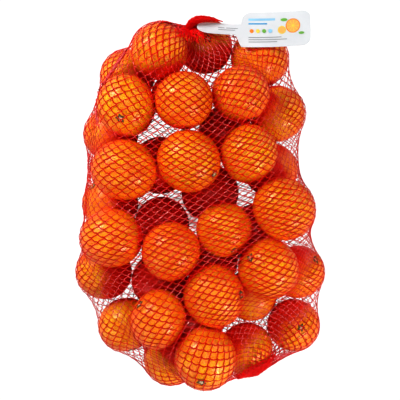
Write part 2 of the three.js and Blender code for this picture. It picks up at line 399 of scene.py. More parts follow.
def finerGrid(grid, times):
    rings, columns = grid.shape[:2]
    rows = np.arange((rings - 1) * times + 1) / times
    low = np.minimum(rows.astype(int), rings - 2)
    part = (rows - low)[:, None, None]
    tall = grid[low] * (1 - part) + grid[low + 1] * part
    after = np.roll(tall, -1, 1)
    shares = [tall + (after - tall) * k / times for k in range(times)]
    return np.stack(shares, 2).reshape(len(rows), columns * times, 3)


# Slides the columns round each ring until they stand about equally far apart.
def evenOut(grid):
    rings, columns = grid.shape[:2]
    places = np.arange(columns) / columns
    steps = np.linalg.norm(np.roll(grid, -1, 1) - grid, axis=-1)
    shares = (np.cumsum(steps, 1) - steps) / steps.sum(1, keepdims=True)
    drift = shares - places
    drift -= drift.mean(1, keepdims=True)
    for _ in range(netForm["evenRounds"]):
        ends = np.vstack([drift[:1], drift, drift[-1:]])
        drift = (ends[:-2] + 2 * drift + ends[2:]) / 4
        drift = (np.roll(drift, 1, 1) + 2 * drift + np.roll(drift, -1, 1)) / 4
    evened = np.empty_like(grid)
    for ring in range(rings):
        moved = places + drift[ring]
        old = np.interp(places, [*(moved - 1), *moved, *(moved + 1)],
                        [*(places - 1), *places, *(places + 1)])
        column = (old % 1.0) * columns
        before = np.floor(column).astype(int) % columns
        part = (column - np.floor(column))[:, None]
        evened[ring] = grid[ring, before] * (1 - part) + grid[ring, (before + 1) % columns] * part
    return evened


def foldPleats(grid):
    f = netForm
    away = np.minimum(
        np.linalg.norm(grid - np.array(f["topMiddle"]), axis=-1),
        np.linalg.norm(grid - np.array(f["bottomMiddle"]), axis=-1),
    )
    fade = 1 - smoothStep(away, f["neckRadius"], f["pleatReach"])
    turn = 2 * math.pi * f["pleatCount"] * np.arange(grid.shape[1]) / grid.shape[1]
    lift = f["pleatDepth"] * fade * (1 + np.cos(turn)) / 2
    lift[[0, -1]] = 0
    return grid + gridNormals(grid) * lift[..., None]


def tautNet():
    grid = looseNet(netForm["rings"], netForm["columns"])
    allRounds = netForm["rounds"]
    for times, rounds in zip(netForm["finer"], allRounds):
        grid = tighten(finerGrid(grid, times), rounds)
    return foldPleats(evenOut(grid))


netGrid = tautNet()
netNormals = gridNormals(netGrid)
print("net surface tightened:", netGrid.shape)


# Points and outward normals of the net's surface; around wraps at 1, along runs 0 to 1.
def onNet(around, along):
    rings, columns = netGrid.shape[:2]
    column = (around % 1.0) * columns
    ring = np.clip(along, 0, 1) * (rings - 1)
    c0 = np.floor(column).astype(int) % columns
    r0 = np.minimum(np.floor(ring).astype(int), rings - 2)
    c1 = (c0 + 1) % columns
    fc = (column - np.floor(column))[..., None]
    fr = (ring - r0)[..., None]

    def blend(values):
        top = values[r0, c0] * (1 - fc) + values[r0, c1] * fc
        return top * (1 - fr) + (values[r0 + 1, c0] * (1 - fc) + values[r0 + 1, c1] * fc) * fr

    return blend(netGrid), unit(blend(netNormals))


def addSockets(group, inputs, outputs):
    for name, kind, value in inputs:
        socket = group.interface.new_socket(name, in_out="INPUT", socket_type=kind)
        if value is not None:
            socket.default_value = value
    for name, kind in outputs:
        group.interface.new_socket(name, in_out="OUTPUT", socket_type=kind)
    return group.nodes.new("NodeGroupInput"), group.nodes.new("NodeGroupOutput")


# Links a socket to the output that feeds it, or gives it a plain value.
def feed(tree, socket, value):
    if isinstance(value, bpy.types.NodeSocket):
        tree.links.new(value, socket)
    else:
        socket.default_value = value


def node(tree, kind, settings=None, **inputs):
    made = tree.nodes.new(kind)
    for name, value in (settings or {}).items():
        setattr(made, name, value)
    for name, value in inputs.items():
        feed(tree, made.inputs[name.replace("_", " ")], value)
    return made


def pointValue(tree, name):
    return node(tree, "ShaderNodeAttribute", {"attribute_name": name}).outputs["Fac"]


def mapRange(tree, value, **ends):
    return node(tree, "ShaderNodeMapRange", Value=value, **ends).outputs["Result"]


def multiply(tree, *values):
    made = node(tree, "ShaderNodeMath", {"operation": "MULTIPLY"})
    for socket, value in zip(made.inputs, values):
        feed(tree, socket, value)
    return made.outputs[0]


# Ends a tree in a mix of two shaders.
def blendShaders(tree, share, first, second, leave="Material Output"):
    blend = node(tree, "ShaderNodeMixShader", Fac=share)
    tree.links.new(first.outputs[0], blend.inputs[1])
    tree.links.new(second.outputs[0], blend.inputs[2])
    tree.links.new(blend.outputs[0], tree.nodes[leave].inputs["Surface"])


# Broad uneven patches, as a mask from 0 to 1.
def buildMottle():
    group = bpy.data.node_groups.new("mottle", "ShaderNodeTree")
    entry, leave = addSockets(
        group,
        [("Scale", "NodeSocketFloat", 60.0), ("Low", "NodeSocketFloat", 0.35),
         ("High", "NodeSocketFloat", 0.65)],
        [("Mask", "NodeSocketFloat")],
    )
    place = node(group, "ShaderNodeTexCoord").outputs["Object"]
    cloud = node(group, "ShaderNodeTexNoise", Vector=place, Scale=entry.outputs["Scale"],
                 Detail=3.0, Roughness=0.55)
    spread = mapRange(group, cloud.outputs["Fac"], From_Min=entry.outputs["Low"],
                      From_Max=entry.outputs["High"])
    group.links.new(spread, leave.inputs["Mask"])
    return group


# Fine relief with soft dents, as a height from 0 to 1.
def buildGrain():
    group = bpy.data.node_groups.new("fineGrain", "ShaderNodeTree")
    entry, leave = addSockets(
        group,
        [("Scale", "NodeSocketFloat", 900.0), ("Dent", "NodeSocketFloat", 0.45)],
        [("Height", "NodeSocketFloat")],
    )
    place = node(group, "ShaderNodeTexCoord").outputs["Object"]
    cells = node(group, "ShaderNodeTexVoronoi", Vector=place, Scale=entry.outputs["Scale"])
    dents = mapRange(group, cells.outputs["Distance"], From_Max=entry.outputs["Dent"])
    group.links.new(dents, leave.inputs["Height"])
    return group


mottleGroup = buildMottle()
grainGroup = buildGrain()


def newMaterial(name, settings):
    material = bpy.data.materials.new(name)
    material.use_nodes = True
    shader = material.node_tree.nodes["Principled BSDF"]
    for socket, value in settings.items():
        shader.inputs[socket].default_value = value
    return material, material.node_tree, shader


def mottle(tree, scale, low, high):
    return node(tree, "ShaderNodeGroup", {"node_tree": mottleGroup},
                Scale=scale, Low=low, High=high).outputs["Mask"]


def grain(tree, scale, dent):
    return node(tree, "ShaderNodeGroup", {"node_tree": grainGroup},
                Scale=scale, Dent=dent).outputs["Height"]


def mixColour(tree, mask, first, second):
    mix = node(tree, "ShaderNodeMix", {"data_type": "RGBA"}, Factor=mask)
    slots = [s for s in mix.inputs if s.type == "RGBA"]
    for slot, value in zip(slots, (first, second)):
        feed(tree, slot, value if isinstance(value, bpy.types.NodeSocket) else (*value, 1))
    return [s for s in mix.outputs if s.type == "RGBA"][0]


def bump(tree, shader, height, distance, strength):
    relief = node(tree, "ShaderNodeBump", Height=height, Distance=distance, Strength=strength)
    tree.links.new(relief.outputs["Normal"], shader.inputs["Normal"])


peelFinish = {
    "deep": (0.92, 0.29, 0.0005),
    "middle": (0.96, 0.42, 0.001),
    "light": (0.99, 0.63, 0.003),
    "fleck": (0.85, 0.20, 0.001),
    "broadPatches": (26.0, 0.40, 0.60),  # scale, and the cloud's range they span
    "patches": [
        ("light", 75.0, 0.45, 0.72),
        ("middle", 300.0, 0.50, 0.64),
        ("fleck", 560.0, 0.50, 0.66),
    ],
    # crimson of a fruit's own redder tone and of its painted shade
    "ripeAndShadeRed": (0.97, 0.018, 0.003),
    "paintedRimShade": (0.90, 0.19, 0.0005),  # painted rim shade: peel that turns from the eye is painted deeper, for shade and the denser net seen there
    "rimShadeFrom": 0.32,  # how far the peel turns from the eye, from 0 to 1
    "rimShadeTo": 0.80,
    "roughPatches": (180.0, 0.3, 0.7),
    "smoothest": 0.26,
    "roughest": 0.42,
    "poreScale": 640.0,
    "poreDent": 0.5,
    "poreDistance": 0.0009,
    "poreStrength": 0.8,
    "shader": {"Specular IOR Level": 0.55},
}


def peelMaterial():
    f = peelFinish
    material, tree, shader = newMaterial("orange_peel", f["shader"])
    colour = mixColour(tree, mottle(tree, *f["broadPatches"]), f["deep"], f["middle"])
    for name, *patches in f["patches"]:
        colour = mixColour(tree, mottle(tree, *patches), colour, f[name])
    # Painted crimson shade, mixed with each fruit's own redder tone.
    redAndShade = pointValue(tree, "redAndShade")
    face = mixColour(tree, redAndShade, colour, f["ripeAndShadeRed"])
    # Painted rim shade, by how far the peel turns from the eye.
    turned = node(tree, "ShaderNodeLayerWeight", Blend=0.5).outputs["Facing"]
    edge = mapRange(tree, turned, From_Min=f["rimShadeFrom"], From_Max=f["rimShadeTo"])
    paintedRimShade = mixColour(tree, redAndShade, f["paintedRimShade"], f["ripeAndShadeRed"])
    tree.links.new(mixColour(tree, edge, face, paintedRimShade), shader.inputs["Base Color"])
    rough = mapRange(tree, mottle(tree, *f["roughPatches"]), To_Min=f["smoothest"],
                     To_Max=f["roughest"])
    tree.links.new(rough, shader.inputs["Roughness"])
    pores = grain(tree, f["poreScale"], f["poreDent"])
    bump(tree, shader, pores, f["poreDistance"], f["poreStrength"])
    return material


stemFinish = {
    "button": ((0.10, 0.055, 0.02), (0.27, 0.17, 0.07)),
    "pith": ((0.50, 0.40, 0.20), (0.90, 0.82, 0.60)),
    "patches": (900.0, 0.4, 0.6),
    "grain": (2500.0, 0.6),
    "grainDistance": 0.0004,
    "grainStrength": 0.8,
    "shader": {"Roughness": 0.8},
}


def stemMaterial(part):
    f = stemFinish
    material, tree, shader = newMaterial(f"stem_{part}", f["shader"])
    colour = mixColour(tree, mottle(tree, *f["patches"]), *f[part])
    tree.links.new(colour, shader.inputs["Base Color"])
    bump(tree, shader, grain(tree, *f["grain"]), f["grainDistance"], f["grainStrength"])
    return material


yarnFinish = {
    "dull": (0.78, 0.012, 0.0006),  # yarn with no painted light, as over orange peel
    "paintedLight": (0.76, 0.020, 0.035),  # yarn with painted light, over crimson peel or open floor
    "glint": (1.0, 0.42, 0.40),  # painted glints on short stretches of the yarn with painted light
    "glintScale": 420.0,
    "glintRange": (0.50, 0.62),
    "glintFrom": 0.25,  # painted light from which a yarn gets painted glints
    "through": (0.90, 0.05, 0.05),  # light that comes through the yarn
    "throughShare": 0.15,
    "gloss": (0.0, 0.7),  # coat of the dull yarn and of the yarn with painted light
    "glow": (0.035, 0.004, 0.004),  # painted glow on the yarn with painted light, for light passed along it
    "glowFrom": 0.0,
    "shader": {"Roughness": 0.30, "Specular IOR Level": 0.3, "Coat Roughness": 0.12},
}
# Gathered net: a strong painted glow on yarns whose painted light is over one half.
gatheredFinish = {
    "dull": (0.97, 0.006, 0.002),
    "paintedLight": (0.98, 0.010, 0.012),
    "glint": (0.98, 0.05, 0.04),
    "glintScale": 240.0,
    "glintRange": (0.55, 0.65),
    "glintFrom": 0.0,
    "through": (1.0, 0.02, 0.015),
    "throughShare": 0.45,
    "gloss": (0.0, 0.35),
    "glow": (0.36, 0.002, 0.002),
    "glowFrom": 0.5,
    "shader": {"Roughness": 0.35, "Specular IOR Level": 0.25, "Coat Roughness": 0.15},
}
# Folded net: painted light, painted glints and a faint painted glow, as for the net yarn.
foldFinish = {
    "dull": (1.0, 0.07, 0.09),
    "paintedLight": (1.0, 0.16, 0.18),
    "glint": (1.0, 0.45, 0.48),
    "glintScale": 420.0,
    "glintRange": (0.52, 0.64),
    "glintFrom": 0.0,
    "through": (0.95, 0.06, 0.07),
    "throughShare": 0.4,
    "gloss": (0.2, 0.5),
    "glow": (0.02, 0.002, 0.002),
    "glowFrom": 0.0,
    "shader": {"Roughness": 0.35, "Specular IOR Level": 0.3, "Coat Roughness": 0.15},
}


yarnRelief = {"grain": (2600.0, 0.6), "distance": 0.0002, "strength": 0.5}


def yarnMaterial(name, f):
    material, tree, shader = newMaterial(name, f["shader"])
    # Each point's share of painted light: a pinker colour, painted glints, more coat and a painted
    # glow.
    paintedLight = pointValue(tree, "paintedLight")
    colour = mixColour(tree, paintedLight, f["dull"], f["paintedLight"])
    # Painted glints, on the yarn with most painted light.
    free = mapRange(tree, paintedLight, From_Min=f["glintFrom"])
    catches = multiply(tree, mottle(tree, f["glintScale"], *f["glintRange"]), free)
    colour = mixColour(tree, catches, colour, f["glint"])
    tree.links.new(colour, shader.inputs["Base Color"])
    gloss = mapRange(tree, paintedLight, To_Min=f["gloss"][0], To_Max=f["gloss"][1])
    tree.links.new(gloss, shader.inputs["Coat Weight"])
    relief = grain(tree, *yarnRelief["grain"])
    bump(tree, shader, relief, yarnRelief["distance"], yarnRelief["strength"])
    # Painted glow, though the yarn is no lamp.
    shader.inputs["Emission Strength"].default_value = 1.0
    passes = mapRange(tree, paintedLight, From_Min=f["glowFrom"])
    glow = mixColour(tree, passes, (0, 0, 0), f["glow"])
    tree.links.new(glow, shader.inputs["Emission Color"])
    through = node(tree, "ShaderNodeBsdfTranslucent", Color=(*f["through"], 1))
    blendShaders(tree, f["throughShare"], shader, through)
    return material


filmFinish = {
    "white": ((0.69, 0.71, 0.73), (0.74, 0.755, 0.77)),
    "whiteRoughness": 0.32,
    "inkRoughness": 0.4,
    "inkDeeper": 0.85,  # how much deeper an ink's own patches are
    "patches": (30.0, 0.4, 0.65),
    "ripples": (90.0, 0.3, 0.7),
    "rippleDistance": 0.0006,
    "rippleStrength": 0.25,
    "shader": {"Coat Weight": 0.15, "Coat Roughness": 0.25},
}


def filmMaterial(name, colour, second, roughness):
    f = filmFinish
    material, tree, shader = newMaterial(name, {"Roughness": roughness, **f["shader"]})
    tint = mixColour(tree, mottle(tree, *f["patches"]), colour, second)
    tree.links.new(tint, shader.inputs["Base Color"])
    bump(tree, shader, mottle(tree, *f["ripples"]), f["rippleDistance"], f["rippleStrength"])
    return material


peel = peelMaterial()
stem = stemMaterial("button")
pith = stemMaterial("pith")
yarn = yarnMaterial("net_yarn", yarnFinish)
gathered = yarnMaterial("gathered_net", gatheredFinish)
folded = yarnMaterial("folded_net", foldFinish)
film = filmMaterial("label_film", *filmFinish["white"], filmFinish["whiteRoughness"])
print("materials made")


def deselectAll():
    if bpy.context.object and bpy.context.object.mode != "OBJECT":
        bpy.ops.object.mode_set(mode="OBJECT")
    bpy.ops.object.select_all(action="DESELECT")


def vertexArray(piece):
    places = np.empty(len(piece.data.vertices) * 3)
    piece.data.vertices.foreach_get("co", places)
    return places.reshape(-1, 3)


def setVertices(piece, places):
    piece.data.vertices.foreach_set("co", np.ascontiguousarray(places, float).ravel())
    piece.data.update()


# Gives each point of a piece a value, which its material reads.
def markPoints(piece, name, values):
    piece.data.attributes.new(name, "FLOAT", "POINT").data.foreach_set("value", values)


def applyAll(piece):
    bpy.context.view_layer.objects.active = piece
    for modifier in list(piece.modifiers):
        bpy.ops.object.modifier_apply(modifier=modifier.name)


def standIn(piece, slot, *nodes):
    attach(piece, body)
    if nodes:
        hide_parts(*nodes)


def meshPiece(name, points, faces, material, smooth=True):
    mesh = bpy.data.meshes.new(name)
    mesh.from_pydata(toFrame(points).tolist(), [], faces.tolist())
    piece = bpy.data.objects.new(name, mesh)
    bpy.context.scene.collection.objects.link(piece)
    mesh.materials.append(material)
    mesh.polygons.foreach_set("use_smooth", np.full(len(faces), smooth))
    return piece


# How much of a light comes past the fruit, from 0 to 1, with a soft edge given in radii.
def passing(points, ray, fruit, edge):
    offsets = fruit[None, :, :3] - points[:, None]
    ahead = offsets @ ray
    miss = np.linalg.norm(offsets - ahead[..., None] * ray, axis=-1) / fruit[:, 3]
    return np.where(ahead > 0, smoothStep(miss, *edge), 1).prod(1)


# Where each light stands, as a direction from the bag.
lightWays = {
    "key": (-0.62, 0.60, 0.52),
    "second": (0.62, -0.62, 0.52),
    "left": (-0.66, -0.60, 0.40),
    "right": (0.66, 0.60, 0.40),
    "overhead": (0.05, 0.1, 1.0),
}

# Peel that other fruit keep the lights from is painted crimson as shade, since what light
# it gets has come through red net.
peelShade = {
    "weights": {"key": 0.5, "second": 0.5, "overhead": 0.12},
    "leastFacing": 0.01,
    "wrap": 0.15,  # how far round a fruit a light reaches
    "edge": (0.8, 1.2),  # how softly a fruit stops a light, in radii
    "crimsonTo": 0.25,  # share of the light that reaches the peel
    "orangeFrom": 0.75,
}


def crimsonShare(points, normals, own):
    s = peelShade
    others = np.delete(fruitPlaces, own, 0)
    whole = np.zeros(len(points))
    reached = np.zeros(len(points))
    for name, weight in s["weights"].items():
        light = unit(np.array(lightWays[name]))
        facing = weight * np.maximum(s["leastFacing"], normals @ light + s["wrap"])
        whole += facing
        reached += facing * passing(points, light, others, s["edge"])
    shade = 1 - smoothStep(reached / whole, s["crimsonTo"], s["orangeFrom"])
    least = (lowerFruit + upperFruit)[own][4]
    return np.maximum(0, least + (1 - least) * shade)


orangeShape = {
    "segments": 44,
    "rings": 28,
    "dimple": 0.05,  # in radii
    "dimpleWidth": 0.17,
    "farDimple": 0.3,  # how deep the other end's dimple is, in dimples
    "buttonRadius": 0.19,  # to the button's points
    "buttonPoints": 5,
    "buttonSink": 0.006,
    "buttonWaist": 0.60,
    "buttonHeight": 0.040,
    "buttonTaper": 0.80,
    "buttonRim": 0.034,
    "pithRim": 0.016,
    "pithRise": 0.012,
    "flattest": 0.965,
    "roundest": 1.01,
    "unevenness": 0.020,
    "unevenOver": (1.2, 2.9, 0.45),  # how often the broad and the small swells turn, small share
    "fullest": 1.008,  # no swell reaches further out, so the net stays clear
    "shownRise": 0.02,  # the least rise of a stem end that shows, squared
    "hiddenRise": (-0.95, -0.25),  # and the rise of one that doesn't, in radii
    "swellReach": 40,  # how far apart the places are from which each fruit takes its swells
}


# One orange of radius 1 with its stem end up: a dimpled ball and a starry button.
def masterOrange():
    s = orangeShape
    deselectAll()
    bpy.ops.mesh.primitive_uv_sphere_add(segments=s["segments"], ring_count=s["rings"], radius=1)
    ball = bpy.context.object
    ball.data.materials.append(peel)
    places = vertexArray(ball)
    fromStem = np.arccos(np.clip(places[:, 2], -1, 1))
    dent = s["dimple"] * np.exp(-((fromStem / s["dimpleWidth"]) ** 2))
    farDent = np.exp(-(((math.pi - fromStem) / s["dimpleWidth"]) ** 2))
    dent += s["farDimple"] * s["dimple"] * farDent
    setVertices(ball, places * (1 - dent)[:, None])
    bpy.ops.object.shade_smooth()

    deselectAll()
    bpy.ops.mesh.primitive_circle_add(
        vertices=2 * s["buttonPoints"], radius=s["buttonRadius"], fill_type="NGON",
        location=(0, 0, 1 - s["dimple"] - s["buttonSink"]),
    )
    button = bpy.context.object
    button.data.materials.append(stem)
    button.data.materials.append(pith)
    bpy.ops.object.transform_apply(location=True, rotation=True, scale=True)
    bpy.ops.object.mode_set(mode="EDIT")
    bpy.ops.mesh.select_all(action="DESELECT")
    bpy.ops.object.mode_set(mode="OBJECT")
    for vertex in list(button.data.vertices)[::2]:
        vertex.select = True
    bpy.ops.object.mode_set(mode="EDIT")
    bpy.ops.mesh.select_mode(type="VERT")
    bpy.ops.transform.resize(value=(s["buttonWaist"], s["buttonWaist"], 1))
    bpy.ops.mesh.select_all(action="SELECT")
    bpy.ops.mesh.extrude_region_move(TRANSFORM_OT_translate={"value": (0, 0, s["buttonHeight"])})
    bpy.ops.transform.resize(value=(s["buttonTaper"], s["buttonTaper"], 1))
    bpy.ops.mesh.inset(thickness=s["buttonRim"])
    button.active_material_index = 1
    bpy.ops.object.material_slot_assign()
    bpy.ops.mesh.inset(thickness=s["pithRim"])
    bpy.ops.transform.translate(value=(0, 0, s["pithRise"]))
    bpy.ops.mesh.select_all(action="SELECT")
    bpy.ops.mesh.normals_make_consistent(inside=False)
    bpy.ops.object.mode_set(mode="OBJECT")

    deselectAll()
    ball.select_set(True)
    button.select_set(True)
    bpy.context.view_layer.objects.active = ball
    bpy.ops.object.join()
    return ball


# The unit vector to the stem end: as it shows, or anywhere on the hidden side.
def stemDirection(shown):
    if shown:
        x, y = shown
        up = math.sqrt(max(orangeShape["shownRise"], 1 - x * x - y * y))
        return Vector((x, y, up)).normalized()
    turn = rng.uniform(0, 2 * math.pi)
    rise = rng.uniform(*orangeShape["hiddenRise"])
    flat = math.sqrt(1 - rise**2)
    return Vector((flat * math.cos(turn), flat * math.sin(turn), rise))


def unevenSkin(directions, seed):
    broad, small, share = orangeShape["unevenOver"]
    swells = [
        noise.noise(Vector(d) * broad + seed) + share * noise.noise(Vector(d) * small + seed)
        for d in directions
    ]
    return np.array(swells)


def placeOranges():
    s = orangeShape
    master = masterOrange()
    form = vertexArray(master)
    directions = unit(form)
    for number, (row, place) in enumerate(zip(lowerFruit + upperFruit, fruitPlaces), 1):
        piece = bpy.data.objects.new(f"orange_{number:02d}", master.data.copy())
        bpy.context.scene.collection.objects.link(piece)
        flat = rng.uniform(s["flattest"], s["roundest"])
        seed = Vector(rng.uniform(-s["swellReach"], s["swellReach"], 3))
        swell = 1 + s["unevenness"] * unevenSkin(directions, seed)
        shape = form * np.minimum(swell, s["fullest"])[:, None] * np.array([1, 1, flat])
        turn = stemDirection(row[3]).to_track_quat("Z", "Y").to_matrix()
        spin = rng.uniform(0, 2 * math.pi)
        around = np.array([[math.cos(spin), -math.sin(spin), 0],
                           [math.sin(spin), math.cos(spin), 0], [0, 0, 1]])
        turned = shape @ around.T @ np.array(turn).T
        laid = lengthen(turned * place[3], place) + place[:3]
        setVertices(piece, toFrame(laid))
        markPoints(piece, "redAndShade", crimsonShare(laid, unit(turned), number - 1))
        standIn(piece, "orange_peel", "filled_net")
    bpy.data.objects.remove(master)


placeOranges()
print("oranges placed")


netYarn = {
    "wales": 54,  # meshes round the bag
    "edge": 7.3,  # length of a leg
    "leastRow": 0.40,  # a row's least height, in legs
    "freeWidth": (0.42, 0.48),  # half widths of the straight legs and the waved ones, where free
    "pressedWidth": (0.58, 0.64),  # and where they are pressed flat on a fruit
    "pressedWithin": (2.0, 5.5),  # pressed up to this far off the peel, free from there on
    "halfThick": 0.32,
    "jointGap": 0.38,  # a yarn's middle to the joint's middle
    "sink": 0.4,  # how far the yarns' middle lies under the net's surface
    "paintedLight": {"waved": 0.55, "straight": 1.0},  # painted light of the straight legs and the waved ones, over crimson peel or open floor
    "paintedLightOver": {"peel": (0.16, 0.45), "floor": (6.0, 12.0)},  # painted light over peel, by its red and painted shade, and over floor, by the gap to the peel
    "litFrom": (0.15, 0.55),  # yarn gets painted light where the net faces up by this much
    "joint": 0.22,  # share of a leg over which it runs beside its neighbour
    "jointDrift": 0.04,  # and how much of its way across it goes meanwhile
    "bow": 0.30,  # the sag of the waved legs, in rows
    "jointBow": 0.35,  # and how much of that is left at a joint's ends
    "wander": 0.15,  # of single yarns to either side
    "straightOver": 0.14,  # how far the straight legs lie over the joints, and the waved under
    "acrossFrom": (0.0, 1.0, 0.2),  # the way from which a yarn wanders aside
    "crowdOver": (7, 46),  # off a gather's middle, where the yarns crowd in layers
    "layers": 5,
    "layerSkip": 7,  # so that neighbours lie in different layers
    "layerStep": 0.5,
    "slimmer": 0.10,  # where they crowd
    "lowest": 0.06,  # nothing goes under the table top
    "pieces": 3,
}


# Closed four-sided tubes along many paths at once, wide across the surface they lie on.
# paths and normals are (tubes, points, 3); the half sizes fit (tubes, points).
def tubes(paths, normals, halfWidth, halfThick):
    count, length = paths.shape[:2]
    along = unit(np.gradient(paths, axis=1))
    side = unit(np.cross(along, normals))
    over = unit(np.cross(side, along))
    wide = np.broadcast_to(halfWidth, (count, length))[..., None]
    thick = np.broadcast_to(halfThick, (count, length))[..., None]
    corners = np.stack(
        [paths + side * wide, paths + over * thick, paths - side * wide, paths - over * thick], 2
    )
    base = (np.arange(count)[:, None, None] * length + np.arange(length - 1)[None, :, None]) * 4
    corner = np.arange(4)[None, None, :]
    after = (corner + 1) % 4
    walls = np.stack(
        [base + corner, base + after, base + 4 + after, base + 4 + corner], -1
    ).reshape(-1, 4)
    first = np.arange(count)[:, None] * length * 4
    caps = np.vstack([first + np.array([3, 2, 1, 0]), first + (length - 1) * 4 + np.arange(4)])
    return corners.reshape(-1, 3), np.vstack([walls, caps])


# How far along the surface each row of joints lies, so that every leg keeps its length.
def netRows():
    s = netYarn
    steps = np.linalg.norm(np.diff(netGrid, axis=0), axis=-1).mean(1)
    travelled = np.concatenate([[0], np.cumsum(steps)])
    girth = np.linalg.norm(np.roll(netGrid, -1, 1) - netGrid, axis=-1).sum(1)
    shares = np.arange(len(netGrid)) / (len(netGrid) - 1)
    rows, place = [], 0.0
    while place < travelled[-1]:
        rows.append(place)
        half = np.interp(place, travelled, girth) / (2 * s["wales"])
        place += math.sqrt(max(s["edge"] ** 2 - half**2, (s["leastRow"] * s["edge"]) ** 2))
    rows = np.array(rows) * travelled[-1] / rows[-1]
    return np.interp(rows, travelled, shares), np.interp(rows, travelled, girth)


def knitNet():
    s = netYarn
    rowPlaces, rowGirths = netRows()
    yarns, rows = 2 * s["wales"], len(rowPlaces)
    print("net rows:", rows, "girth:", round(float(rowGirths.max())))
    number = np.arange(yarns)[:, None]
    row = np.arange(rows)[None, :]
    atRight = (number + row) % 2
    swing = number + atRight  # half meshes round the bag
    joints = swing / yarns + s["jointGap"] * (1 - 2 * atRight) / rowGirths

    # Four points to a leg: the joint's two ends, the leg's middle and the next joint's start.
    shares = np.array([0.0, s["joint"], 0.5, 1 - s["joint"]])
    lateral = np.array([0.0, s["jointDrift"], 0.5, 1 - s["jointDrift"]])
    sag = np.array([0.0, s["jointBow"], 1.0, s["jointBow"]])
    fromU, toU = joints[:, :-1, None], joints[:, 1:, None]
    around = (fromU + (toU - fromU) * lateral).reshape(yarns, -1)
    waved = np.repeat(atRight[:, :-1], 4, axis=1)  # legs that run back as they go down
    rowShare = (row[:, :-1, None] + shares).reshape(1, -1)
    bowed = rowShare + s["bow"] * np.tile(sag, rows - 1)[None, :] * waved
    around = np.hstack([around, joints[:, -1:]])
    bowed = np.hstack([bowed, np.full((yarns, 1), rows - 1.0)])
    waved = np.hstack([waved, waved[:, -1:]])
    along = np.interp(bowed, np.arange(rows), rowPlaces)

    paths, normals = onNet(around, along)
    wander = rng.normal(0, s["wander"], (yarns, rows, 2))
    spread = np.repeat(wander, 4, axis=1)[:, : paths.shape[1]]
    across = unit(np.cross(normals, np.array(s["acrossFrom"])))
    nearTop = np.linalg.norm(paths - np.array(netForm["topMiddle"]), axis=-1)
    nearBottom = np.linalg.norm(paths - np.array(netForm["bottomMiddle"]), axis=-1)
    crowd = 1 - smoothStep(np.minimum(nearTop, nearBottom), *s["crowdOver"])
    layer = ((number * s["layerSkip"]) % s["layers"] - s["layers"] // 2) * s["layerStep"]
    lift = -s["sink"] + s["straightOver"] * (1 - 2 * waved) * (1 - crowd) + layer * crowd
    paths = paths + normals * lift[..., None]
    paths += across * (spread[..., :1] * (1 - crowd)[..., None])
    slim = 1 - s["slimmer"] * crowd
    gap = nearestPeel(paths)[0]
    free = smoothStep(gap, *s["pressedWithin"])
    freeWide, pressedWide = (
        low + (high - low) * waved for low, high in (s["freeWidth"], s["pressedWidth"])
    )
    wide = pressedWide + (freeWide - pressedWide) * free
    points, faces = tubes(paths, normals, wide * slim, s["halfThick"] * slim)
    points[:, 2] = np.maximum(points[:, 2], s["lowest"])
    # Painted light: more on straight legs, over painted crimson shade or open floor, and where the
    # net faces up.
    paintedLight = s["paintedLight"]["straight"] + (s["paintedLight"]["waved"] - s["paintedLight"]["straight"]) * waved
    overPeel = smoothStep(peelRedAndShade(paths), *s["paintedLightOver"]["peel"])
    overFloor = smoothStep(gap, *s["paintedLightOver"]["floor"])
    paintedLight = paintedLight * np.maximum(overPeel, overFloor)
    paintedLight *= smoothStep(normals[..., 2], *s["litFrom"])
    paintedLight = np.repeat(paintedLight.reshape(-1), 4)
    addYarnPieces("net_yarns", points, faces, paintedLight, s["pieces"], "filled_net", yarn)


# How far points lie off the nearest fruit's peel, and which fruit that is.
def nearestPeel(points):
    gaps = roundDistance(points.reshape(-1, 3), fruitPlaces) - fruitPlaces[:, 3]
    return gaps.min(1).reshape(points.shape[:-1]), gaps.argmin(1).reshape(points.shape[:-1])


# How red the peel is under points of the net, its own tone and its painted crimson shade.
def peelRedAndShade(points):
    owner = nearestPeel(points)[1]
    redAndShade = np.zeros(owner.shape)
    for number, one in enumerate(fruitPlaces):
        mine = owner == number
        out = unit(points[mine] - one[:3])
        redAndShade[mine] = crimsonShare(one[:3] + out * one[3], out, number)
    return redAndShade


# Whole tubes go to one piece or another, so each piece stays closed.
def addYarnPieces(name, points, faces, paintedLight, count, nodeName, material):
    owner = faces.min(1)
    cuts = np.linspace(0, len(points), count + 1).astype(int)
    tubeLength = len(points) // (2 * netYarn["wales"]) if count > 1 else len(points)
    cuts = (cuts // tubeLength) * tubeLength
    cuts[-1] = len(points)
    for part in range(count):
        low, high = cuts[part], cuts[part + 1]
        mine = faces[(owner >= low) & (owner < high)] - low
        label = f"{name}_{part + 1}" if count > 1 else name
        piece = meshPiece(label, points[low:high], mine, material)
        markPoints(piece, "paintedLight", paintedLight[low:high])
        standIn(piece, "net_yarn", nodeName)


knitNet()
print("net knitted")


